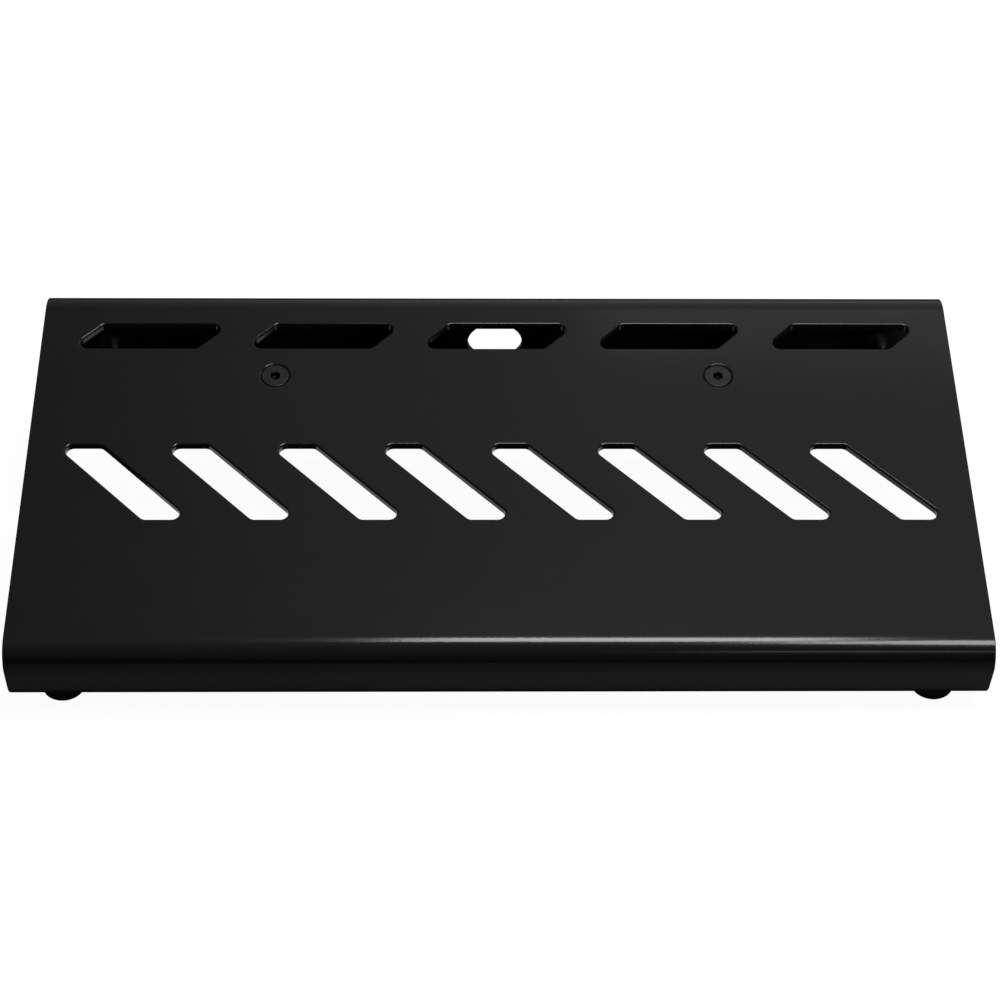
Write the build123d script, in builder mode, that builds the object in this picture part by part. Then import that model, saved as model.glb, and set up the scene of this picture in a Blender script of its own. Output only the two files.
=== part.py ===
from build123d import *

import os
from math import cos, radians, sin, tan

# A small pedalboard: one bent aluminium sheet on four rubber feet, with a saddle bracket for
# a power supply under its deck.
# Frame: X to the right, Y to the rear, Z up, millimetres. The origin is on the floor, under
# the middle of the board.
# Deck coordinates: x as above, "along" runs up the slope of the deck from the outside of the
# front face, and "above" is square to the deck's top face, negative inside the board.

# Deck: overall sizes are of the outside of the sheet, from corner to corner of the bends
board_width = 400.0
deck_length = 202.0
deck_tilt = 10.0
front_height = 30.0
flange_length = 35.0
sheet = 3.2
front_bend = 11.0
rear_bend = 15.0
lower_bend = 10.5
edge_round = 0.45
rim_round = 0.9

# Slanted cable slots across the middle of the deck
cable_slots = 8
cable_slot_pitch = 45.3
cable_slot_width = 19.9
cable_slot_depth = 39.9
cable_slot_middle = 90.05
cable_slot_round = 3.3

# Narrow slots along the rear of the deck
rear_slots = 5
rear_slot_pitch = 76.2
rear_slot_width = 55.7
rear_slot_depth = 14.0
rear_slot_middle = 171.35
rear_slot_round = 3.2

# Round cable outlet in the rear panel
outlet_radius = 12.4
outlet_drop = 35.4

# Countersunk M6 screws that hold the bracket, and what is on them under the deck
screw_spacing = 193.0
screw_along = 148.6
screw_radius = 3.0
screw_hole_radius = 3.2
countersink_radius = 6.7
screw_head_radius = 6.0
screw_sink = 0.25
screw_length = 16.0
socket_across_flats = 4.0
socket_depth = 2.4
clamp_washer_radius = 9.0
clamp_washer_thickness = 1.6
spring_washer_radius = 5.5
spring_washer_split = 0.8
nut_across_flats = 10.0
nut_height = 5.0
nut_corner_share = 0.8
thread_clearance = 0.05
small_chamfer = 0.2
tip_chamfer = 0.6
spring_split_angle = 50.0

# Saddle bracket: a bent steel strip, wide at its two slotted flanges
bracket_sheet = 2.0
bracket_inside = 160.0
bracket_end = 112.0
bracket_floor_drop = 36.0
bracket_flange_width = 30.0
bracket_strip_width = 20.0
bracket_taper_top = 10.0
bracket_taper_bottom = 19.0
bracket_inner_bend = 2.0
bracket_corner_round = 4.0
bracket_travel = 7.0
slide_clearance = 0.3
pad_thickness = 3.0
pad_length = 148.0
pad_width = 18.0
pad_round = 2.0

# Rubber feet, their M4 button head screws and what is on them
foot_height = 9.0
foot_radius = 9.5
foot_taper = 4.0
foot_round = 1.8
foot_spacing = 361.0
front_foot_setback = 16.0
rear_foot_setback = 22.5
foot_recess_radius = 5.2
foot_recess_depth = 4.6
foot_recess_round = 0.5
foot_screw_radius = 2.0
foot_hole_radius = 2.2
foot_screw_length = 16.0
foot_head_radius = 3.8
foot_head_height = 2.2
foot_head_round = 1.4
foot_socket_flats = 2.5
foot_socket_depth = 1.3
cup_washer_radius = 4.5
foot_washer_radius = 4.5
foot_washer_thickness = 0.8
foot_nut_flats = 7.0
foot_nut_height = 3.2
foot_nut_collar_radius = 3.1
foot_nut_collar_height = 1.8
foot_nut_collar_round = 0.8

os.makedirs("parts", exist_ok=True)

slope_cos = cos(radians(deck_tilt))
slope_sin = sin(radians(deck_tilt))
slope_tan = tan(radians(deck_tilt))
corner_height = foot_height + front_height * slope_cos
rear_height = front_height + deck_length * slope_tan

# The front corner of the deck stands where the board's front-most point, on the front bend,
# and its rear-most point, on the rear lower bend, are equally far from the origin.
rear_bend_along = deck_length - lower_bend
rear_bend_rise = foot_height + lower_bend - corner_height
rear_bend_drop = (rear_bend_along * slope_sin - rear_bend_rise) / slope_cos
front_reach = front_bend * (slope_cos + slope_sin - 1)
rear_reach = rear_bend_along * slope_cos + rear_bend_drop * slope_sin + lower_bend
corner_y = -(front_reach + rear_reach) / 2

deck_plane = Plane(
    origin=(0, corner_y, corner_height),
    x_dir=(1, 0, 0),
    z_dir=(0, -slope_sin, slope_cos),
)


def plane_at(x, along, above, x_dir, z_dir):
    """Plane at a point in deck coordinates, with its directions in deck coordinates too."""
    origin = deck_plane.from_local_coords((x, along, above))
    tip_x = deck_plane.from_local_coords((x + x_dir[0], along + x_dir[1], above + x_dir[2]))
    tip_z = deck_plane.from_local_coords((x + z_dir[0], along + z_dir[1], above + z_dir[2]))
    return Plane(origin=origin, x_dir=tip_x - origin, z_dir=tip_z - origin)


def save(piece, name):
    """Label a finished piece and write it as its own STEP file."""
    piece.part.label = name
    export_step(piece.part, f"parts/{name}.step")


def slanted_slot(width, depth, lean):
    """Corners of a slot with 45 degree ends; lean 1 puts its rear edge further right."""
    shift = lean * depth / 2
    return [
        (-width / 2 - shift, -depth / 2),
        (width / 2 - shift, -depth / 2),
        (width / 2 + shift, depth / 2),
        (-width / 2 + shift, depth / 2),
    ]


def washer(plane, outer_radius, inner_radius, thickness):
    """Flat ring that stands on the plane, on its positive side."""
    with BuildPart() as ring:
        with BuildSketch(plane):
            Circle(outer_radius)
            Circle(inner_radius, mode=Mode.SUBTRACT)
        extrude(amount=thickness)
        chamfer(ring.edges().filter_by(GeomType.CIRCLE), small_chamfer)
    return ring


def hex_nut(plane, across_flats, height, bore_radius):
    """Plain nut on the plane, its corners turned off at both faces."""
    corner_radius = across_flats / 2 / cos(radians(30))
    turned = (corner_radius - across_flats / 2) * nut_corner_share
    with BuildPart() as nut:
        with BuildSketch(plane):
            Circle(corner_radius)
        extrude(amount=height)
        chamfer(nut.edges().filter_by(GeomType.CIRCLE), length=turned / 2, length2=turned)
        with BuildSketch(plane):
            RegularPolygon(radius=across_flats / 2, side_count=6, major_radius=False)
            Circle(bore_radius, mode=Mode.SUBTRACT)
        extrude(amount=height, mode=Mode.INTERSECT)
    return nut


def level_plane(x, y, z, z_dir=(0, 0, 1)):
    """Level plane at a point."""
    return Plane(origin=(x, y, z), x_dir=(1, 0, 0), z_dir=z_dir)


# The deck's side outline, from the free edge of the front flange round to that of the rear
# one. The two flanges are level, so they slope down in deck coordinates.
side_plane = plane_at(0, 0, 0, (0, 1, 0), (1, 0, 0))
level_along = flange_length * slope_cos
level_above = flange_length * slope_sin
outline = [
    (level_along, -front_height - level_above),
    (0, -front_height),
    (0, 0),
    (deck_length, 0),
    (deck_length, -rear_height),
    (deck_length - level_along, -rear_height + level_above),
]
outline_bends = [lower_bend, front_bend, rear_bend, lower_bend]
screw_places = {"left": -screw_spacing / 2, "right": screw_spacing / 2}
foot_places = {"left": -foot_spacing / 2, "right": foot_spacing / 2}
front_lower = deck_plane.from_local_coords((0, 0, -front_height))
rear_lower = deck_plane.from_local_coords((0, deck_length, -rear_height))
foot_rows = {
    "front": front_lower.Y + front_foot_setback,
    "rear": rear_lower.Y - rear_foot_setback,
}

with BuildPart() as deck:
    with BuildSketch(side_plane):
        with BuildLine():
            FilletPolyline(*outline, radius=outline_bends)
            offset(amount=sheet, side=Side.RIGHT)
        make_face()
    extrude(amount=board_width / 2, both=True)
    with BuildSketch(plane_at(0, cable_slot_middle, 0, (1, 0, 0), (0, 0, 1))) as cable_row:
        with GridLocations(cable_slot_pitch, 0, cable_slots, 1):
            Polygon(*slanted_slot(cable_slot_width, cable_slot_depth, -1), align=None)
        fillet(cable_row.vertices(), cable_slot_round)
    extrude(amount=-2 * sheet, mode=Mode.SUBTRACT)
    with BuildSketch(plane_at(0, rear_slot_middle, 0, (1, 0, 0), (0, 0, 1))) as rear_row:
        with GridLocations(rear_slot_pitch, 0, rear_slots, 1):
            Polygon(*slanted_slot(rear_slot_width, rear_slot_depth, 1), align=None)
        fillet(rear_row.vertices(), rear_slot_round)
    extrude(amount=-2 * sheet, mode=Mode.SUBTRACT)
    with BuildSketch(plane_at(0, deck_length, -outlet_drop, (1, 0, 0), (0, 1, 0))):
        Circle(outlet_radius)
    extrude(amount=-2 * sheet, mode=Mode.SUBTRACT)
    deck_top = deck.faces().sort_by(Axis(deck_plane.origin, deck_plane.z_dir))[-1]
    rear_panel = deck.faces().sort_by(Axis(deck_plane.origin, deck_plane.y_dir))[-1]
    cut_rims = [edge for face in (deck_top, rear_panel) for edge in face.inner_wires().edges()]
    side_rims = [deck.faces().sort_by(Axis.X)[end].edges() for end in (0, -1)]
    fillet(ShapeList(cut_rims), rim_round)
    fillet(side_rims[0] + side_rims[1], edge_round)
    with Locations(plane_at(0, screw_along, 0, (1, 0, 0), (0, 0, 1))):
        with GridLocations(screw_spacing, 0, 2, 1):
            CounterSinkHole(screw_hole_radius, countersink_radius, 2 * sheet, 90)
    for foot_y in foot_rows.values():
        with Locations(level_plane(0, foot_y, foot_height + sheet)):
            with GridLocations(foot_spacing, 0, 2, 1):
                Hole(foot_hole_radius, 2 * sheet)
save(deck, "deck")

# Saddle bracket: two slotted flanges under the deck, two legs and a floor between them
bracket_top = -sheet - slide_clearance
bracket_floor = -bracket_floor_drop
bracket_path = [
    (-bracket_end, bracket_top),
    (-bracket_inside / 2, bracket_top),
    (-bracket_inside / 2, bracket_floor),
    (bracket_inside / 2, bracket_floor),
    (bracket_inside / 2, bracket_top),
    (bracket_end, bracket_top),
]
outer_bend = bracket_inner_bend + bracket_sheet
bracket_bends = [outer_bend, bracket_inner_bend, bracket_inner_bend, outer_bend]
flange_half = bracket_flange_width / 2
strip_half = bracket_strip_width / 2
bracket_low = bracket_floor - 2 * bracket_sheet
bracket_side = [
    (-flange_half, 0),
    (-flange_half, -bracket_taper_top),
    (-strip_half, -bracket_taper_bottom),
    (-strip_half, bracket_low),
    (strip_half, bracket_low),
    (strip_half, -bracket_taper_bottom),
    (flange_half, -bracket_taper_top),
    (flange_half, 0),
]
slot_radius = screw_radius + slide_clearance

with BuildPart() as power_bracket:
    with BuildSketch(plane_at(0, screw_along, 0, (1, 0, 0), (0, -1, 0))):
        with BuildLine():
            FilletPolyline(*bracket_path, radius=bracket_bends)
            offset(amount=bracket_sheet, side=Side.RIGHT)
        make_face()
    extrude(amount=flange_half, both=True)
    with BuildSketch(plane_at(0, screw_along, 0, (0, 1, 0), (1, 0, 0))) as side_shape:
        Polygon(*bracket_side, align=None)
        waist = side_shape.vertices().sort_by(Axis.Y)[2:6]
        fillet(waist, bracket_corner_round)
    extrude(amount=bracket_end, both=True, mode=Mode.INTERSECT)
    with BuildSketch(plane_at(0, screw_along, 0, (0, 1, 0), (0, 0, -1))):
        with GridLocations(0, screw_spacing, 1, 2):
            SlotOverall(2 * (slot_radius + bracket_travel), 2 * slot_radius)
    extrude(amount=bracket_taper_top, mode=Mode.SUBTRACT)
    square_edges = power_bracket.edges().filter_by(Axis(deck_plane.origin, deck_plane.z_dir))
    flange_ends = square_edges.sort_by(Axis.X)
    fillet(flange_ends[:2] + flange_ends[-2:], bracket_corner_round)
save(power_bracket, "power_bracket")

with BuildPart() as bracket_pad:
    with BuildSketch(plane_at(0, screw_along, bracket_floor, (1, 0, 0), (0, 0, 1))):
        RectangleRounded(pad_length, pad_width, pad_round)
    extrude(amount=pad_thickness)
    chamfer(bracket_pad.faces().sort_by(Axis.Z)[-1].edges(), small_chamfer)
save(bracket_pad, "bracket_pad")

# Hardware of the bracket, from the deck down
washer_top = bracket_top - bracket_sheet - slide_clearance
spring_top = washer_top - clamp_washer_thickness
nut_top = spring_top - clamp_washer_thickness
cone_end = screw_radius - screw_head_radius - small_chamfer
screw_outline = [
    (0, 0),
    (screw_head_radius - small_chamfer, 0),
    (screw_head_radius, -small_chamfer),
    (screw_radius, cone_end),
    (screw_radius, tip_chamfer - screw_length),
    (screw_radius - tip_chamfer, -screw_length),
    (0, -screw_length),
]
for side, x in screw_places.items():
    head_plane = plane_at(x, screw_along, -screw_sink, (1, 0, 0), (0, 0, 1))
    with BuildPart() as bracket_screw:
        with BuildSketch(plane_at(x, screw_along, -screw_sink, (1, 0, 0), (0, -1, 0))):
            Polygon(*screw_outline, align=None)
        revolve(axis=Axis(head_plane.origin, head_plane.z_dir))
        with BuildSketch(head_plane):
            RegularPolygon(radius=socket_across_flats / 2, side_count=6, major_radius=False)
        extrude(amount=-socket_depth, mode=Mode.SUBTRACT)
    save(bracket_screw, f"bracket_screw_{side}")

    washer_plane = plane_at(x, screw_along, washer_top, (1, 0, 0), (0, 0, -1))
    clamp_washer = washer(washer_plane, clamp_washer_radius, slot_radius, clamp_washer_thickness)
    save(clamp_washer, f"bracket_washer_{side}")

    spring_plane = plane_at(x, screw_along, spring_top, (1, 0, 0), (0, 0, -1))
    with BuildPart() as spring_washer:
        with BuildSketch(spring_plane):
            Circle(spring_washer_radius)
            Circle(slot_radius, mode=Mode.SUBTRACT)
            with Locations((spring_washer_radius / 2, 0)):
                Rectangle(
                    2 * spring_washer_radius,
                    spring_washer_split,
                    rotation=spring_split_angle,
                    align=(Align.MIN, Align.CENTER),
                    mode=Mode.SUBTRACT,
                )
        extrude(amount=clamp_washer_thickness)
    save(spring_washer, f"bracket_spring_washer_{side}")

    nut_plane = plane_at(x, screw_along, nut_top, (1, 0, 0), (0, 0, -1))
    nut_bore = screw_radius + thread_clearance
    save(hex_nut(nut_plane, nut_across_flats, nut_height, nut_bore), f"bracket_nut_{side}")

# Feet: bumpers with a recess in the floor side for the screw's head and a washer under it
foot_floor_radius = foot_radius - foot_height * tan(radians(foot_taper))
head_rest = foot_recess_depth - foot_washer_thickness
flange_top = foot_height + sheet
foot_outline = [
    (foot_hole_radius, foot_height),
    (foot_radius, foot_height),
    (foot_floor_radius, 0),
    (foot_recess_radius, 0),
    (foot_recess_radius, foot_recess_depth),
    (foot_hole_radius, foot_recess_depth),
]
for row, y in foot_rows.items():
    for side, x in foot_places.items():
        place = f"{row}_{side}"
        foot_axis = Axis((x, y, 0), (0, 0, 1))
        section_plane = Plane(origin=(x, y, 0), x_dir=(1, 0, 0), z_dir=(0, -1, 0))
        with BuildPart() as foot:
            with BuildSketch(section_plane) as foot_section:
                Polygon(*foot_outline, align=None)
                floor_corners = foot_section.vertices().group_by(Axis.Y)[0].sort_by(Axis.X)
                fillet(floor_corners[1], foot_round)
                fillet(floor_corners[0], foot_recess_round)
            revolve(axis=foot_axis)
        save(foot, f"foot_{place}")

        with BuildPart() as foot_screw:
            with BuildSketch(level_plane(x, y, head_rest)):
                Circle(foot_head_radius)
            extrude(amount=-foot_head_height)
            crown = foot_screw.edges().sort_by(Axis.Z)[0]
            fillet(crown, foot_head_round)
            with BuildSketch(level_plane(x, y, head_rest)):
                Circle(foot_screw_radius)
            extrude(amount=foot_screw_length)
            with BuildSketch(level_plane(x, y, head_rest - foot_head_height)):
                RegularPolygon(radius=foot_socket_flats / 2, side_count=6, major_radius=False)
            extrude(amount=foot_socket_depth, mode=Mode.SUBTRACT)
            chamfer(foot_screw.edges().sort_by(Axis.Z)[-1], tip_chamfer)
        save(foot_screw, f"foot_screw_{place}")

        cup_plane = level_plane(x, y, head_rest)
        cup_washer = washer(cup_plane, cup_washer_radius, foot_hole_radius, foot_washer_thickness)
        save(cup_washer, f"foot_cup_washer_{place}")

        top_plane = level_plane(x, y, flange_top)
        flat_washer = washer(top_plane, foot_washer_radius, foot_hole_radius, foot_washer_thickness)
        save(flat_washer, f"foot_washer_{place}")

        nut_plane = level_plane(x, y, flange_top + foot_washer_thickness)
        nut_bore = foot_screw_radius + thread_clearance
        collar_plane = level_plane(x, y, flange_top + foot_washer_thickness + foot_nut_height)
        with BuildPart() as lock_nut:
            add(hex_nut(nut_plane, foot_nut_flats, foot_nut_height, nut_bore).part)
            with BuildSketch(collar_plane):
                Circle(foot_nut_collar_radius)
                Circle(nut_bore, mode=Mode.SUBTRACT)
            extrude(amount=foot_nut_collar_height)
            collar_rim = lock_nut.faces().sort_by(Axis.Z)[-1].outer_wire().edges()
            fillet(collar_rim, foot_nut_collar_round)
        save(lock_nut, f"foot_nut_{place}")
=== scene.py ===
import math

import bmesh
import bpy
from mathutils import Matrix, Vector
from mathutils.geometry import tessellate_polygon
from mathutils.noise import noise as noise_value


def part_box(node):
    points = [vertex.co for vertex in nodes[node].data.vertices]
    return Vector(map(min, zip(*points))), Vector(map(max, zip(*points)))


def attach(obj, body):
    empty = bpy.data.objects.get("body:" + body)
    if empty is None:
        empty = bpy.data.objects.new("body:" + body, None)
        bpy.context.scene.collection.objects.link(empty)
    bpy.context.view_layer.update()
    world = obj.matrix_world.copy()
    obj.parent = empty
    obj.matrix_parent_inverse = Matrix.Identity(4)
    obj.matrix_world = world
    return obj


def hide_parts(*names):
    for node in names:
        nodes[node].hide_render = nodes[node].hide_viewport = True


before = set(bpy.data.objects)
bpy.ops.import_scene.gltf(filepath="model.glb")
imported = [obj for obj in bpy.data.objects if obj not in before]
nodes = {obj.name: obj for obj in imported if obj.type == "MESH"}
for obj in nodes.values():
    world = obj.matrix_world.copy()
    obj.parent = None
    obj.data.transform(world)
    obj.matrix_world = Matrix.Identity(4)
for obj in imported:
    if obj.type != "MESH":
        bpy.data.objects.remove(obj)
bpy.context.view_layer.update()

# ---------------------------------------------------------------- camera
# Fitted to the photo; metres, degrees and millimetres of lens
CAMERA_TARGET = Vector((0.0005, -0.0262, 0.0524))
CAMERA_DISTANCE = 1.0667
CAMERA_ELEVATION = 42.376
CAMERA_AZIMUTH = 1.454
CAMERA_ROLL = 0.975
CAMERA_LENS = 91.52
CAMERA_SENSOR = 36.0
CAMERA_CLIP = 0.05


def make_camera():
    """Camera in front of the board, looking down at it, turned and rolled a little."""
    elevation, azimuth, roll = map(math.radians, (CAMERA_ELEVATION, CAMERA_AZIMUTH, CAMERA_ROLL))
    forward = Vector((
        math.sin(azimuth) * math.cos(elevation),
        math.cos(azimuth) * math.cos(elevation),
        -math.sin(elevation),
    ))
    level_right = forward.cross(Vector((0, 0, 1))).normalized()
    level_up = level_right.cross(forward)
    right = level_right * math.cos(roll) + level_up * math.sin(roll)
    up = right.cross(forward)
    data = bpy.data.cameras.new("camera")
    data.lens = CAMERA_LENS
    data.sensor_width = CAMERA_SENSOR
    data.clip_start = CAMERA_CLIP
    camera = bpy.data.objects.new("camera", data)
    bpy.context.scene.collection.objects.link(camera)
    turn = Matrix((right, up, -forward)).transposed().to_4x4()
    camera.matrix_world = Matrix.Translation(CAMERA_TARGET - forward * CAMERA_DISTANCE) @ turn
    bpy.context.scene.camera = camera


# ---------------------------------------------------------------- materials
# Noise scales, in cycles per metre
COAT_CLOUD = 60.0
COAT_GLOSS = 25.0
COAT_PEEL = 900.0
COAT_SWELL = 60.0
GRAIN = 400.0
# Heights of bumps, in metres
PEEL_HEIGHT = 0.0001
SWELL_HEIGHT = 0.001
GRAIN_HEIGHT = 0.0002
# Openness at which a recess of black steel is fully darkened by painted shade, and at which it has
# none
RECESS_FULL_SHADE = 0.45
RECESS_NO_SHADE = 0.85
# The black of that painted shade, and the specular level of steel that has it
RECESS_SHADE_BLACK = (0.002, 0.002, 0.002, 1)
RECESS_SPECULAR = 0.05


class Nodes:
    """A small helper that adds and links the nodes of one material or world."""

    def __init__(self, tree):
        self.tree = tree
        tree.nodes.clear()

    def add(self, kind, values=None, **settings):
        """A new node with its settings, then the values of its unlinked inputs."""
        node = self.tree.nodes.new(kind)
        for name, value in settings.items():
            setattr(node, name, value)
        for name, value in (values or {}).items():
            node.inputs[name].default_value = value
        return node

    def link(self, output, target):
        """Feeds a node's output into another's input."""
        self.tree.links.new(output, target)

    def math(self, operation, first, second):
        """Two outputs, or an output and a number, joined by one operation."""
        node = self.add("ShaderNodeMath", operation=operation)
        self.link(first, node.inputs[0])
        if isinstance(second, float):
            node.inputs[1].default_value = second
        else:
            self.link(second, node.inputs[1])
        return node.outputs[0]

    def mix_shaders(self, factor, first, second):
        """The first shader at factor 0, the second at 1."""
        node = self.add("ShaderNodeMixShader")
        for socket, source in enumerate((factor, first, second)):
            self.link(source, node.inputs[socket])
        return node.outputs[0]

    def mix_colours(self, factor, first, second):
        """The first colour at factor 0, the second at 1; each is an output or a colour."""
        node = self.add("ShaderNodeMix", data_type="RGBA")
        self.link(factor, node.inputs["Factor"])
        for socket, source in (("A", first), ("B", second)):
            if isinstance(source, tuple):
                node.inputs[socket].default_value = source
            else:
                self.link(source, node.inputs[socket])
        return node.outputs["Result"]


def new_material(name):
    """An empty node material and the helper that fills it."""
    material = bpy.data.materials.new(name)
    material.use_nodes = True
    return material, Nodes(material.node_tree)


def ranged(n, source, low, high):
    """Maps a 0 to 1 output to the range low to high."""
    fit = n.add("ShaderNodeMapRange", {"To Min": low, "To Max": high})
    n.link(source, fit.inputs["Value"])
    return fit.outputs["Result"]


def smooth_step(n, source, start, end, low, high):
    """Eases from low to high as the source goes from start to end."""
    values = {"From Min": start, "From Max": end, "To Min": low, "To Max": high}
    ease = n.add("ShaderNodeMapRange", values, interpolation_type="SMOOTHSTEP")
    n.link(source, ease.inputs["Value"])
    return ease.outputs["Result"]


def noise(n, scale, detail):
    """Noise fixed to the object's own coordinates, in cycles per metre."""
    place = n.add("ShaderNodeTexCoord")
    field = n.add("ShaderNodeTexNoise", {"Scale": scale, "Detail": detail, "Roughness": 0.5})
    n.link(place.outputs["Object"], field.inputs["Vector"])
    return field.outputs["Fac"]


def bump(n, height, strength, distance, under=None):
    """Normal of a bumped surface, on top of another bump's normal if one is given."""
    node = n.add("ShaderNodeBump", {"Strength": strength, "Distance": distance})
    n.link(height, node.inputs["Height"])
    if under:
        n.link(under, node.inputs["Normal"])
    return node.outputs["Normal"]


def finish_material(n, colour, roughness, normal, metallic=0.0):
    """The surface shader of a material; metallic is a number or an output."""
    shader = n.add("ShaderNodeBsdfPrincipled")
    output = n.add("ShaderNodeOutputMaterial")
    n.link(shader.outputs["BSDF"], output.inputs["Surface"])
    n.link(colour, shader.inputs["Base Color"])
    n.link(roughness, shader.inputs["Roughness"])
    n.link(normal, shader.inputs["Normal"])
    if isinstance(metallic, float):
        shader.inputs["Metallic"].default_value = metallic
    else:
        n.link(metallic, shader.inputs["Metallic"])
    return shader


def coat_material(name, dark, light, roughness, peel, wave):
    """Satin black coat: dark base, an orange-peel skin and a long wave in its gloss."""
    material, n = new_material(name)
    colour = n.mix_colours(noise(n, COAT_CLOUD, 4.0), (*dark, 1), (*light, 1))
    gloss = ranged(n, noise(n, COAT_GLOSS, 5.0), *roughness)
    swell = bump(n, noise(n, COAT_SWELL, 1.0), wave, SWELL_HEIGHT)
    skin = bump(n, noise(n, COAT_PEEL, 1.0), peel, PEEL_HEIGHT, under=swell)
    finish_material(n, colour, gloss, skin)
    return material


def plain_material(name, dark, light, roughness, metallic=0.0, grain=0.2, shade_reach=0.0):
    """Rubber, foam, oxide or plate: two tones, a fine grain and painted shade in recesses of a
    given size.
    """
    material, n = new_material(name)
    colour = n.mix_colours(noise(n, GRAIN, 3.0), (*dark, 1), (*light, 1))
    gloss = ranged(n, noise(n, GRAIN / 2, 3.0), *roughness)
    skin = bump(n, noise(n, GRAIN * 4, 2.0), grain, GRAIN_HEIGHT)
    if not shade_reach:
        finish_material(n, colour, gloss, skin, metallic)
        return material
    # Painted shade: where ambient occlusion finds walls close by, the colour goes black and the
    # metal turns dielectric
    occlusion = n.add("ShaderNodeAmbientOcclusion", {"Distance": shade_reach}, samples=8)
    unshaded = smooth_step(n, occlusion.outputs["AO"], RECESS_FULL_SHADE, RECESS_NO_SHADE, 0.0, 1.0)
    colour = n.mix_colours(unshaded, RECESS_SHADE_BLACK, colour)
    shader = finish_material(n, colour, gloss, skin, n.math("MULTIPLY", unshaded, metallic))
    shader.inputs["Specular IOR Level"].default_value = RECESS_SPECULAR
    return material


def dress(material, *starts):
    """Gives the material to every CAD node whose name starts with one of the words."""
    for name, node in nodes.items():
        if name.startswith(starts):
            node.data.materials.clear()
            node.data.materials.append(material)


# ---------------------------------------------------------------- deck
# Metres; bends and rims are radii of the outer face
SHEET = 0.0032
DECK_TILT = math.radians(10.0)
DECK_LENGTH = 0.202
DECK_HALF_WIDTH = 0.2
FRONT_HEIGHT = 0.030
REAR_HEIGHT = FRONT_HEIGHT + DECK_LENGTH * math.tan(DECK_TILT)
FLANGE_LENGTH = 0.035
FRONT_BEND = 0.011
REAR_BEND = 0.015
LOWER_BEND = 0.0105
EDGE_ROUND = 0.00045
RIM_ROUND = 0.0009
BEND_STEP = math.radians(3.5)
RIM_STEPS = 6
CORNER_STEPS = 10
END_RIM_STEPS = 4
SHARP_ANGLE = math.radians(32.0)

# Slots: along is the middle's distance from the front corner, lean the side they slant to
CABLE_SLOTS = {"count": 8, "pitch": 0.0453, "width": 0.0199, "depth": 0.0399, "along": 0.09005,
               "corner": 0.0033, "lean": -1}
REAR_SLOTS = {"count": 5, "pitch": 0.0762, "width": 0.0557, "depth": 0.014, "along": 0.17135,
              "corner": 0.0032, "lean": 1}
OUTLET_RADIUS = 0.0124
OUTLET_DROP = 0.0354
SCREW_ALONG = 0.1486
COUNTERSINK_RADIUS = 0.0067
COUNTERSINK_RIM = 0.0006
COUNTERSINK_AROUND = 64
OUTLET_AROUND = 72
FOOT_HOLE_RADIUS = 0.0022


def middle(node):
    """Middle of a CAD node's box."""
    low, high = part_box(node)
    return (Vector(low) + Vector(high)) / 2


class BentSheet:
    """The outside of the sheet, as straight runs and bends, unrolled along one length.

    Points of the outline are in deck coordinates: along the slope, and square above it.
    """

    def __init__(self, corners, radii):
        self.stations = []
        self.runs = []
        length = 0.0
        here = Vector(corners[0])
        for i, radius in enumerate(radii, start=1):
            corner = Vector(corners[i])
            before = (corner - Vector(corners[i - 1])).normalized()
            after = (Vector(corners[i + 1]) - corner).normalized()
            turn = math.acos(before.dot(after))
            cut = radius * math.tan(turn / 2)
            arc_start = corner - before * cut
            length = self.straight(length, here, arc_start)
            steps = math.ceil(turn / BEND_STEP)
            centre = arc_start + Vector((before.y, -before.x)) * radius
            for k in range(1, steps + 1):
                angle = turn * k / steps
                spoke = (arc_start - centre).normalized()
                spoke.rotate(Matrix.Rotation(-angle, 2))
                self.stations.append((length + radius * angle, centre + spoke * radius, spoke))
            length += radius * turn
            here = corner + after * cut
        self.straight(length, here, Vector(corners[-1]))

    def straight(self, length, start, end):
        """Adds a straight run and gives the length reached at its end."""
        run = end - start
        outward = Vector((-run.y, run.x)).normalized()
        if not self.stations:
            self.stations.append((length, start, outward))
        self.runs.append((len(self.stations) - 1, length, start, end))
        self.stations.append((length + run.length, end, outward))
        return length + run.length

    def place(self, run, x, travel, depth):
        """A point of a straight run, travel from its start and depth under the outside."""
        start, end = self.runs[run][2:]
        forward = (end - start).normalized()
        outward = Vector((-forward.y, forward.x))
        return to_world(x, start + forward * travel - outward * depth)


def deck_corner():
    """Where the outsides of the front face and the deck's top would meet."""
    foot_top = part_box("foot_front_left")[1][2]
    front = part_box("deck")[0][1]
    reach = FRONT_BEND * (math.cos(DECK_TILT) + math.sin(DECK_TILT) - 1)
    return Vector((front - reach, foot_top + FRONT_HEIGHT * math.cos(DECK_TILT)))


CORNER = deck_corner()


def to_world(x, point):
    """World position of a point given across, along the slope and square above it."""
    along, above = point
    cos, sin = math.cos(DECK_TILT), math.sin(DECK_TILT)
    return Vector((x, CORNER.x + along * cos - above * sin, CORNER.y + along * sin + above * cos))


def to_deck(point):
    """Along and above of a point of the world."""
    cos, sin = math.cos(DECK_TILT), math.sin(DECK_TILT)
    y, z = point.y - CORNER.x, point.z - CORNER.y
    return Vector((y * cos + z * sin, z * cos - y * sin))


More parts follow.
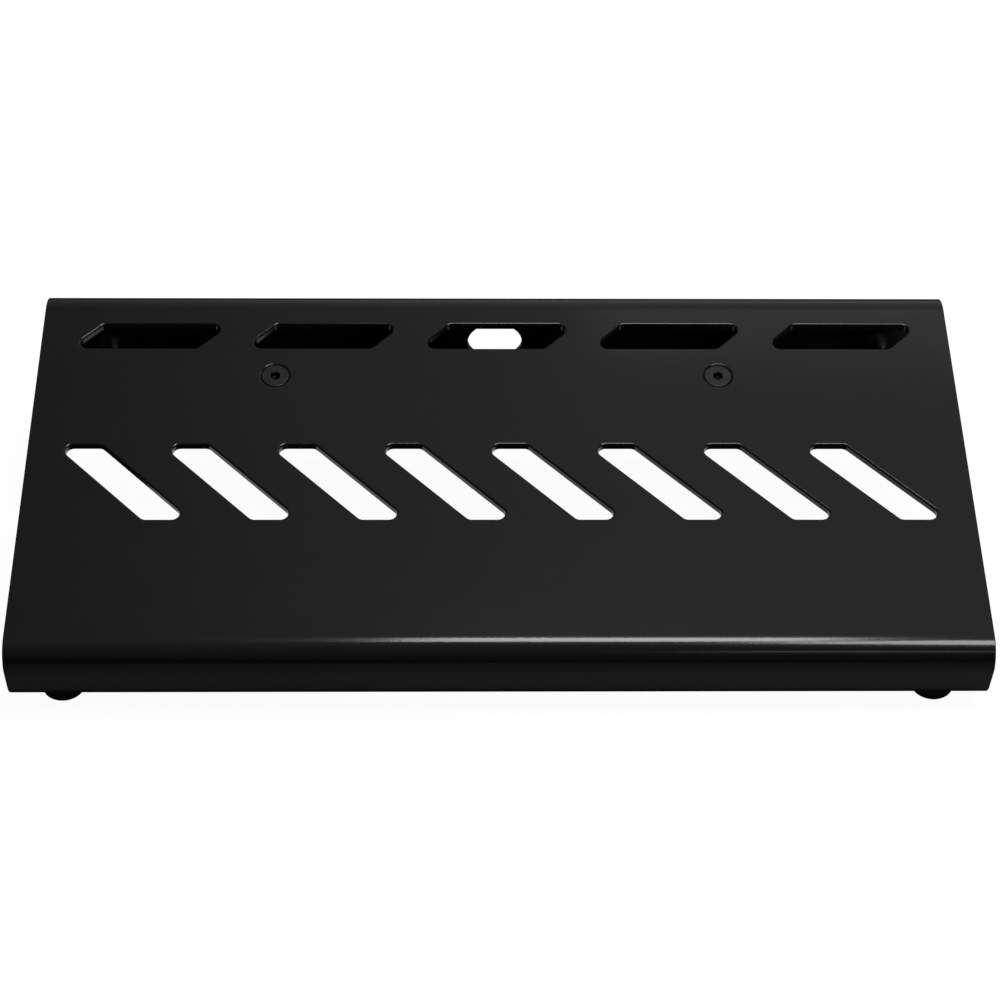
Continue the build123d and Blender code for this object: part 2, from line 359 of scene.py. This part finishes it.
def slot_ring(slot, centre_x, centre_along, grow):
    """Slanted slot with rounded corners, grown by a distance, as points of x and along."""
    half_width, half_depth = slot["width"] / 2, slot["depth"] / 2
    shift = slot["lean"] * half_depth
    corners = [
        Vector((-half_width - shift, -half_depth)),
        Vector((half_width - shift, -half_depth)),
        Vector((half_width + shift, half_depth)),
        Vector((-half_width + shift, half_depth)),
    ]
    ring = []
    for i, corner in enumerate(corners):
        before = (corner - corners[i - 1]).normalized()
        after = (corners[(i + 1) % 4] - corner).normalized()
        turn = before.angle_signed(after)
        cut = slot["corner"] * math.tan(abs(turn) / 2)
        arc_start = corner - before * cut
        outward = Vector((before.y, -before.x))
        centre = arc_start - outward * slot["corner"]
        for k in range(CORNER_STEPS + 1):
            spoke = outward.copy()
            spoke.rotate(Matrix.Rotation(abs(turn) * k / CORNER_STEPS, 2))
            point = centre + spoke * (slot["corner"] + grow)
            ring.append((centre_x + point.x, centre_along + point.y))
    return ring


def round_ring(centre_x, centre_along, radius, count=48):
    """Circle as points of x and along."""
    return [
        (centre_x + radius * math.cos(math.tau * k / count),
         centre_along + radius * math.sin(math.tau * k / count))
        for k in range(count)
    ]


def rim_levels(radius):
    """Growth and depth of each ring of a rounded rim, from the face down."""
    levels = []
    for k in range(RIM_STEPS + 1):
        angle = math.pi / 2 * k / RIM_STEPS
        levels.append((radius * (1 - math.sin(angle)), radius * (1 - math.cos(angle))))
    return levels + [(0.0, SHEET)]


def countersink_levels():
    """Radius and depth of each ring of a 90 degree countersink with a rounded mouth."""
    mouth = COUNTERSINK_RADIUS + COUNTERSINK_RIM * math.tan(math.pi / 8)
    levels = []
    for k in range(RIM_STEPS + 1):
        angle = math.pi / 4 * k / RIM_STEPS
        depth = COUNTERSINK_RIM * (1 - math.cos(angle))
        levels.append((mouth - COUNTERSINK_RIM * math.sin(angle), depth))
    return levels + [(COUNTERSINK_RADIUS - SHEET, SHEET)]


def deck_cuts(sheet):
    """For each straight run, its cuts: each a list of rings of points, outside face first."""
    front_flange, _, deck, rear_panel, rear_flange = range(5)
    cuts = {run: [] for run in range(5)}
    deck_start = sheet.runs[deck][2].x
    for slot in (CABLE_SLOTS, REAR_SLOTS):
        for k in range(slot["count"]):
            x = (k - (slot["count"] - 1) / 2) * slot["pitch"]
            rings = [
                (slot_ring(slot, x, slot["along"] - deck_start, grow), depth)
                for grow, depth in rim_levels(RIM_ROUND)
            ]
            cuts[deck].append(rings)
    for side in ("left", "right"):
        x = middle(f"bracket_screw_{side}").x
        cuts[deck].append([
            (round_ring(x, SCREW_ALONG - deck_start, radius, COUNTERSINK_AROUND), depth)
            for radius, depth in countersink_levels()
        ])
    outlet_travel = OUTLET_DROP - REAR_BEND
    cuts[rear_panel].append([
        (round_ring(0.0, outlet_travel, OUTLET_RADIUS + grow, OUTLET_AROUND), depth)
        for grow, depth in rim_levels(RIM_ROUND)
    ])
    for run, row in ((front_flange, "front"), (rear_flange, "rear")):
        start, end = sheet.runs[run][2:]
        for side in ("left", "right"):
            spot = middle(f"foot_screw_{row}_{side}")
            travel = (to_deck(spot) - start).dot((end - start).normalized())
            cuts[run].append([
                (round_ring(spot.x, travel, FOOT_HOLE_RADIUS), depth) for depth in (0.0, SHEET)
            ])
    return cuts


def end_rim():
    """Outline of the sheet's cut ends: how far in from the end, and how deep."""
    angles = [math.pi / 2 * k / END_RIM_STEPS for k in range(END_RIM_STEPS + 1)]
    rim = [(EDGE_ROUND * (1 - math.sin(a)), EDGE_ROUND * (1 - math.cos(a))) for a in angles]
    return rim + [(inset, SHEET - depth) for inset, depth in reversed(rim)]


def make_deck():
    """The bent sheet with its slots, as one closed mesh with finely rounded rims."""
    level_along = FLANGE_LENGTH * math.cos(DECK_TILT)
    level_above = FLANGE_LENGTH * math.sin(DECK_TILT)
    sheet = BentSheet(
        [(level_along, -FRONT_HEIGHT - level_above), (0, -FRONT_HEIGHT), (0, 0), (DECK_LENGTH, 0),
         (DECK_LENGTH, -REAR_HEIGHT), (DECK_LENGTH - level_along, -REAR_HEIGHT + level_above)],
        [LOWER_BEND, FRONT_BEND, REAR_BEND, LOWER_BEND],
    )
    cuts = deck_cuts(sheet)
    build = bmesh.new()
    rim = end_rim()
    ends = []
    for _, point, outward in sheet.stations:
        ends.append([
            [build.verts.new(to_world(side * (DECK_HALF_WIDTH - inset), point - outward * depth))
             for inset, depth in rim]
            for side in (-1, 1)
        ])
    flat = {run[0]: k for k, run in enumerate(sheet.runs)}
    for i in range(len(ends) - 1):
        for side in (0, 1):
            for k in range(len(rim) - 1):
                build.faces.new((ends[i][side][k], ends[i][side][k + 1],
                                 ends[i + 1][side][k + 1], ends[i + 1][side][k]))
        if i in flat and cuts[flat[i]]:
            face_with_cuts(build, sheet, flat[i], ends[i], ends[i + 1], cuts[flat[i]])
        else:
            for k in (0, -1):
                here, next_ends = ends[i], ends[i + 1]
                build.faces.new((here[0][k], here[1][k], next_ends[1][k], next_ends[0][k]))
    for pair in (ends[0], ends[-1]):
        build.faces.new(pair[0] + pair[1][::-1])
    return finish_mesh(build, "deck_sheet")


def face_with_cuts(build, sheet, run, start_ends, stop_ends, cuts):
    """Both faces of one straight run, with its cuts through the sheet between them."""
    rings = [
        [[build.verts.new(sheet.place(run, x, travel, depth)) for x, travel in ring]
         for ring, depth in cut]
        for cut in cuts
    ]
    for cut in rings:
        for upper, lower in zip(cut, cut[1:]):
            for k in range(len(upper)):
                after = (k + 1) % len(upper)
                build.faces.new((upper[k], upper[after], lower[after], lower[k]))
    for level in (0, -1):
        border = [start_ends[0][level], start_ends[1][level],
                  stop_ends[1][level], stop_ends[0][level]]
        loops = [border] + [cut[level] for cut in rings]
        corners = [vert for loop in loops for vert in loop]
        start, end = sheet.runs[run][2:]
        forward = (end - start).normalized()
        flat_loops = [
            [Vector((vert.co.x, (to_deck(vert.co) - start).dot(forward), 0)) for vert in loop]
            for loop in loops
        ]
        for triangle in tessellate_polygon(flat_loops):
            build.faces.new([corners[k] for k in triangle])


def finish_mesh(build, name):
    """Turns a bmesh into an object, smooth but for its sharp edges."""
    bmesh.ops.recalc_face_normals(build, faces=build.faces)
    mesh = bpy.data.meshes.new(name)
    build.to_mesh(mesh)
    build.free()
    mesh.shade_smooth()
    mesh.set_sharp_from_angle(angle=SHARP_ANGLE)
    piece = bpy.data.objects.new(name, mesh)
    bpy.context.scene.collection.objects.link(piece)
    even = piece.modifiers.new("even_normals", "WEIGHTED_NORMAL")
    even.keep_sharp = True
    even.weight = 100
    return piece


# ---------------------------------------------------------------- fasteners and pad
SCREW_SINK = 0.00025
# Screws: head, major and minor are radii, flats is across the hex socket
BRACKET_SCREW = {"head": 0.0059, "edge": 0.00025, "length": 0.016, "flats": 0.004,
                 "socket": 0.0024, "major": 0.003, "minor": 0.00245, "pitch": 0.001,
                 "tip": 0.0006, "around": 48}
FOOT_SCREW = {"head": 0.0038, "crown": 0.0014, "height": 0.0022, "length": 0.0182,
              "flats": 0.0025, "socket": 0.0013, "major": 0.002, "minor": 0.00162,
              "pitch": 0.0007, "tip": 0.0006, "around": 36}
SOCKET_CHAMFER = 0.00012
# The socket's drilled bottom: its width and depth as parts of the flats
SOCKET_DRILL = 0.5
SOCKET_DRILL_DEPTH = 0.125
HEAD_EDGE_TURN = math.radians(135.0)
THREAD_STEPS = 6
THREAD_FLAT = 0.15
THREAD_END = 0.5
BRACKET_FLOOR_DROP = 0.036
PAD = {"length": 0.148, "width": 0.018, "height": 0.003, "shoulder": 0.0012, "cell": 0.0008,
       "slack": 0.0001, "dimple": 0.00005, "dimples_per_metre": 900.0}


def hex_radius(angle, flats):
    """Distance from the middle of a hexagon to its outline."""
    sector = (angle + math.pi / 6) % (math.pi / 3) - math.pi / 6
    return flats / 2 / math.cos(sector)


def countersunk_profile(size):
    """Radius and height of the head's rings, from its flat top down to the shank."""
    edge, head = size["edge"], size["head"]
    rings = []
    for k in range(RIM_STEPS + 1):
        angle = HEAD_EDGE_TURN * k / RIM_STEPS
        radius = head - edge + edge * math.sin(angle)
        rings.append((radius, edge * (math.cos(angle) - 1)))
    last_radius, last_height = rings[-1]
    rings.append((size["minor"], last_height - (last_radius - size["minor"])))
    return rings


def button_profile(size):
    """Rings of a low domed head, from its crown down to its flat underside."""
    crown, head, height = size["crown"], size["head"], size["height"]
    rings = []
    for k in range(RIM_STEPS + 1):
        angle = math.pi / 2 * k / RIM_STEPS
        rings.append((head - crown + crown * math.sin(angle), crown * (math.cos(angle) - 1)))
    return rings + [(head, -height), (size["minor"], -height)]


def thread_radius(size, angle, height, fade):
    """Radius of a rolled thread at an angle and height; fade 0 leaves the bare core."""
    turn = (height / size["pitch"] + angle / math.tau) % 1.0
    crest = (1 - abs(2 * turn - 1) - THREAD_FLAT) / (1 - 2 * THREAD_FLAT)
    crest = min(max(crest, 0.0), 1.0)
    return size["minor"] + (size["major"] - size["minor"]) * crest * fade


def make_screw(name, place, size, profile):
    """Socket screw with a rolled thread; local Z points out of its head."""
    around = size["around"]
    angles = [math.tau * k / around for k in range(around)]
    build = bmesh.new()

    def ring(radius_at, height):
        points = [(radius_at(a) * math.cos(a), radius_at(a) * math.sin(a), height) for a in angles]
        return [build.verts.new(place @ Vector(point)) for point in points]

    flats, socket = size["flats"], size["socket"]
    rings = [
        ring(lambda a: hex_radius(a, flats) * SOCKET_DRILL, -socket - flats * SOCKET_DRILL_DEPTH),
        ring(lambda a: hex_radius(a, flats), -socket),
        ring(lambda a: hex_radius(a, flats), -SOCKET_CHAMFER),
        ring(lambda a: hex_radius(a, flats + 2 * SOCKET_CHAMFER), 0.0),
    ]
    for radius, height in profile:
        rings.append(ring(lambda a: radius, height))
    top = profile[-1][1]
    bottom = size["tip"] - size["length"]
    steps = int((top - bottom) / size["pitch"] * THREAD_STEPS)
    for k in range(1, steps + 1):
        height = top + (bottom - top) * k / steps
        fade = min(1.0, k / THREAD_STEPS, (steps - k) / THREAD_STEPS + THREAD_END)
        rings.append(ring(lambda a: thread_radius(size, a, height, fade), height))
    rings.append(ring(lambda a: size["minor"] - size["tip"] / 2, -size["length"]))
    for upper, lower in zip(rings, rings[1:]):
        for k in range(around):
            after = (k + 1) % around
            build.faces.new((upper[k], upper[after], lower[after], lower[k]))
    build.faces.new(rings[0])
    build.faces.new(rings[-1])
    return finish_mesh(build, name)


def make_screws(black_steel, zinc_steel):
    """The two bracket screws, square to the deck, and the four upright foot screws."""
    lean = Matrix.Rotation(DECK_TILT, 4, "X")
    for side in ("left", "right"):
        node = f"bracket_screw_{side}"
        head = to_world(middle(node).x, Vector((SCREW_ALONG, -SCREW_SINK)))
        screw = make_screw(f"{node}_threaded", Matrix.Translation(head) @ lean,
                           BRACKET_SCREW, countersunk_profile(BRACKET_SCREW))
        stand_for(screw, node, "deck", black_steel)
    head_down = Matrix.Rotation(math.pi, 4, "X")
    for corner in ("front_left", "front_right", "rear_left", "rear_right"):
        node = f"foot_screw_{corner}"
        spot = middle(node)
        spot.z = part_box(node)[0][2]
        screw = make_screw(f"{node}_threaded", Matrix.Translation(spot) @ head_down,
                           FOOT_SCREW, button_profile(FOOT_SCREW))
        stand_for(screw, node, "deck", zinc_steel)


def stand_for(piece, node, body, material):
    """Puts a detailed piece in a CAD node's place."""
    piece.data.materials.append(material)
    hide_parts(node)
    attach(piece, body)


def pad_height(x, y):
    """Height of the foam's top: flat, finely dimpled, and rounded down at its edges."""
    inset = min(PAD["length"] / 2 - abs(x), PAD["width"] / 2 - abs(y), PAD["shoulder"])
    fall = 1 - inset / PAD["shoulder"]
    sag = PAD["shoulder"] * (1 - math.sqrt(max(1 - fall * fall, 0.0)))
    dimple = 0.0
    if inset > 0:
        dimple = noise_value(Vector((x, y, 0.0)) * PAD["dimples_per_metre"]) * PAD["dimple"]
    return PAD["height"] - PAD["slack"] - sag + dimple


def make_pad(foam):
    """Closed-cell foam strip on the bracket's floor, as one closed mesh."""
    half_length, half_width = PAD["length"] / 2, PAD["width"] / 2
    columns = round(PAD["length"] / PAD["cell"])
    rows = round(PAD["width"] / PAD["cell"])
    build = bmesh.new()
    grid = []
    for i in range(columns + 1):
        x = -half_length + PAD["length"] * i / columns
        grid.append([])
        for j in range(rows + 1):
            y = -half_width + PAD["width"] * j / rows
            point = Vector((SCREW_ALONG + y, -BRACKET_FLOOR_DROP + pad_height(x, y)))
            grid[i].append(build.verts.new(to_world(x, point)))
    for i in range(columns):
        for j in range(rows):
            build.faces.new((grid[i][j], grid[i + 1][j], grid[i + 1][j + 1], grid[i][j + 1]))
    border = (
        [grid[i][0] for i in range(columns)] + [grid[columns][j] for j in range(rows)]
        + [grid[i][rows] for i in range(columns, 0, -1)]
        + [grid[0][j] for j in range(rows, 0, -1)]
    )
    foot = []
    for vert in border:
        along = to_deck(vert.co).x
        foot.append(build.verts.new(to_world(vert.co.x, Vector((along, -BRACKET_FLOOR_DROP)))))
    for k in range(len(border)):
        after = (k + 1) % len(border)
        build.faces.new((border[k], border[after], foot[after], foot[k]))
    build.faces.new(foot)
    pad = finish_mesh(build, "bracket_foam_pad")
    stand_for(pad, "bracket_pad", "bracket", foam)


# ---------------------------------------------------------------- surroundings
FLOOR_REACH = 6.0
FLOOR_DROP = 0.0002
FLOOR_GLOW = 0.96
FLOOR_SHADE = (0.12, 0.12, 0.12, 1)
# Distance from the middle and the grey that the board sees there, near and far: painted falloff of
# light
FLOOR_NEAR = (0.2, 0.19)
FLOOR_FAR = (0.5, 0.06)
# The board's shadow: half depths between which it ends, and the share of grey left in it
SHADOW_EDGE = (0.098, 0.109)
SHADOW_LEVEL = 0.3
# Half width and half depth of the floor that lets light up to the underside
UNDER_BOARD = (0.19, 0.084)
# Height of a direction in the room, and how bright the room is there
ROOM_LEVELS = ((0.0, 0.015), (0.25, 0.035), (0.6, 0.09), (0.85, 0.13), (1.0, 0.2))
# The rear wall: sideways directions between which it brightens, and its two levels
REAR_WALL = (-0.25, 0.1, 0.14, 0.37)
# Directions towards the rear between which the wall takes over from the room
REAR_START = (-0.05, 0.3)
LAMP_HEIGHT = 1.05


def under_board(n, split, path):
    """1 on the floor below the board for every ray but the camera's, so light comes up there."""
    across = n.math("LESS_THAN", split.outputs["X"], UNDER_BOARD[0])
    along = n.math("LESS_THAN", split.outputs["Y"], UNDER_BOARD[1])
    inside = n.math("MULTIPLY", across, along)
    unseen = n.math("LESS_THAN", path.outputs["Is Camera Ray"], 0.5)
    return n.math("MULTIPLY", inside, unseen)


def make_floor():
    """One-sided floor far wider than the board: white to the camera, dim grey to the board."""
    mesh = bpy.data.meshes.new("floor")
    signs = [(-1, -1), (1, -1), (1, 1), (-1, 1)]
    corners = [(x * FLOOR_REACH, y * FLOOR_REACH, 0) for x, y in signs]
    mesh.from_pydata(corners, [], [(0, 1, 2, 3)])
    floor = bpy.data.objects.new("floor", mesh)
    bpy.context.scene.collection.objects.link(floor)
    floor.location.z = -FLOOR_DROP
    material, n = new_material("floor_white")
    mesh.materials.append(material)

    place = n.add("ShaderNodeTexCoord").outputs["Object"]
    distance = n.add("ShaderNodeVectorMath", operation="LENGTH")
    n.link(place, distance.inputs[0])
    spread = n.add("ShaderNodeVectorMath", operation="ABSOLUTE")
    n.link(place, spread.inputs[0])
    split = n.add("ShaderNodeSeparateXYZ")
    n.link(spread.outputs["Vector"], split.inputs[0])
    path = n.add("ShaderNodeLightPath")

    glow = n.add("ShaderNodeEmission", {"Strength": FLOOR_GLOW})
    white = n.add("ShaderNodeBsdfDiffuse", {"Color": FLOOR_SHADE})
    seen = n.add("ShaderNodeAddShader")
    n.link(glow.outputs[0], seen.inputs[0])
    n.link(white.outputs[0], seen.inputs[1])

    grey = n.add("ShaderNodeBsdfDiffuse")
    near, near_grey = FLOOR_NEAR
    far, far_grey = FLOOR_FAR
    # Painted falloff of light: the grey the board sees grows darker with distance from the middle
    fading = smooth_step(n, distance.outputs["Value"], near, far, near_grey, far_grey)
    shadow = smooth_step(n, split.outputs["Y"], *SHADOW_EDGE, SHADOW_LEVEL, 1.0)
    n.link(n.math("MULTIPLY", fading, shadow), grey.inputs["Color"])

    surface = n.mix_shaders(path.outputs["Is Camera Ray"], grey.outputs[0], seen.outputs[0])
    facing = n.add("ShaderNodeNewGeometry")
    lets_through = n.math("MAXIMUM", facing.outputs["Backfacing"], path.outputs["Is Shadow Ray"])
    lets_through = n.math("MAXIMUM", lets_through, under_board(n, split, path))
    clear = n.add("ShaderNodeBsdfTransparent")
    output = n.add("ShaderNodeOutputMaterial")
    n.link(n.mix_shaders(lets_through, surface, clear.outputs[0]), output.inputs["Surface"])


def make_world():
    """Dim room, brighter up and to the right; the camera sees it as a white backdrop."""
    world = bpy.data.worlds.new("room")
    bpy.context.scene.world = world
    world.use_nodes = True
    n = Nodes(world.node_tree)
    place = n.add("ShaderNodeTexCoord")
    split = n.add("ShaderNodeSeparateXYZ")
    n.link(place.outputs["Generated"], split.inputs[0])
    rise = n.add("ShaderNodeValToRGB")
    while len(rise.color_ramp.elements) < len(ROOM_LEVELS):
        rise.color_ramp.elements.new(0.5)
    for element, (height, level) in zip(rise.color_ramp.elements, ROOM_LEVELS):
        element.position = height
        element.color = (level, level, level, 1)
    n.link(split.outputs["Z"], rise.inputs["Fac"])
    rear_wall = smooth_step(n, split.outputs["X"], *REAR_WALL)
    towards_rear = smooth_step(n, split.outputs["Y"], *REAR_START, 0.0, 1.0)
    room = n.add("ShaderNodeBackground")
    n.link(n.mix_colours(towards_rear, rise.outputs["Color"], rear_wall), room.inputs["Color"])
    backdrop = n.add("ShaderNodeBackground", {"Color": (1, 1, 1, 1)})
    path = n.add("ShaderNodeLightPath")
    output = n.add("ShaderNodeOutputWorld")
    seen = n.mix_shaders(path.outputs["Is Camera Ray"], room.outputs[0], backdrop.outputs[0])
    n.link(seen, output.inputs["Surface"])


def make_softbox(name, centre, size, radiance, aim=None, turn=0.0):
    """Rectangular lamp unseen by the camera; without an aim it squarely faces the floor."""
    data = bpy.data.lights.new(name, "AREA")
    data.shape = "RECTANGLE"
    data.size, data.size_y = size
    data.energy = radiance * math.pi * size[0] * size[1]
    lamp = bpy.data.objects.new(name, data)
    lamp.location = centre
    aim = aim or (centre[0], centre[1], 0)
    aimed = (Vector(aim) - Vector(centre)).to_track_quat("-Z", "Y").to_matrix()
    lamp.rotation_euler = (aimed @ Matrix.Rotation(math.radians(turn), 3, "Z")).to_euler()
    lamp.visible_camera = False
    bpy.context.scene.collection.objects.link(lamp)


def make_lamps():
    """Two overhead boxes and their soft fringe, strips front and rear, and a box below."""
    make_softbox("overhead", (0.12, -0.018, LAMP_HEIGHT), (0.35, 0.31), 10.0, turn=-4.0)
    make_softbox("overhead_front", (0.51, -0.37, LAMP_HEIGHT), (0.54, 0.27), 8.5, turn=-38.0)
    make_softbox("overhead_fringe", (0.14, 0.23, LAMP_HEIGHT), (0.36, 0.16), 0.4, turn=-4.0)
    make_softbox("front_strip", (0.35, -0.98, 0.80), (0.30, 0.07), 1.6, aim=(0.35, -0.1, 0.04))
    make_softbox("rear_strip", (0.35, 0.67, 1.0), (0.5, 0.06), 0.5, aim=(0.35, 0.09, 0.07))
    make_softbox("under", (0.0, 0.60, -0.8), (2.4, 1.5), 0.5)


# ---------------------------------------------------------------- the scene
bpy.context.scene.view_settings.view_transform = "Standard"
make_camera()
make_floor()
make_world()
make_lamps()

deck_coat = coat_material("deck_coat", (0.004,) * 3, (0.006,) * 3, (0.12, 0.17), 0.15, 0.03)
dress(deck_coat, "deck")
deck = make_deck()
deck.data.materials.append(deck_coat)
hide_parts("deck")
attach(deck, "deck")
bracket_coat = coat_material("bracket_coat", (0.02,) * 3, (0.03,) * 3, (0.3, 0.4), 0.4, 0.05)
dress(bracket_coat, "power_bracket")
foot_rubber = plain_material("foot_rubber", (0.008,) * 3, (0.014,) * 3, (0.6, 0.75))
dress(foot_rubber, "foot_front", "foot_rear")
pad_foam = plain_material("pad_foam", (0.018,) * 3, (0.035,) * 3, (0.8, 0.9), grain=0.5)
# Black steel with painted shade in its socket and other hollows, found by ambient occlusion within
# 5 mm
black_steel = plain_material("black_steel", (0.045,) * 3, (0.07,) * 3, (0.28, 0.4),
                             metallic=1.0, grain=0.1, shade_reach=0.005)
zinc_steel = plain_material("zinc_steel", (0.5, 0.51, 0.53), (0.62, 0.63, 0.65), (0.25, 0.35),
                            metallic=1.0)
dress(pad_foam, "bracket_pad")
dress(black_steel, "bracket_screw")
dress(zinc_steel, "foot_screw", "foot_cup", "foot_washer", "foot_nut",
      "bracket_washer", "bracket_spring", "bracket_nut")
make_screws(black_steel, zinc_steel)
make_pad(pad_foam)
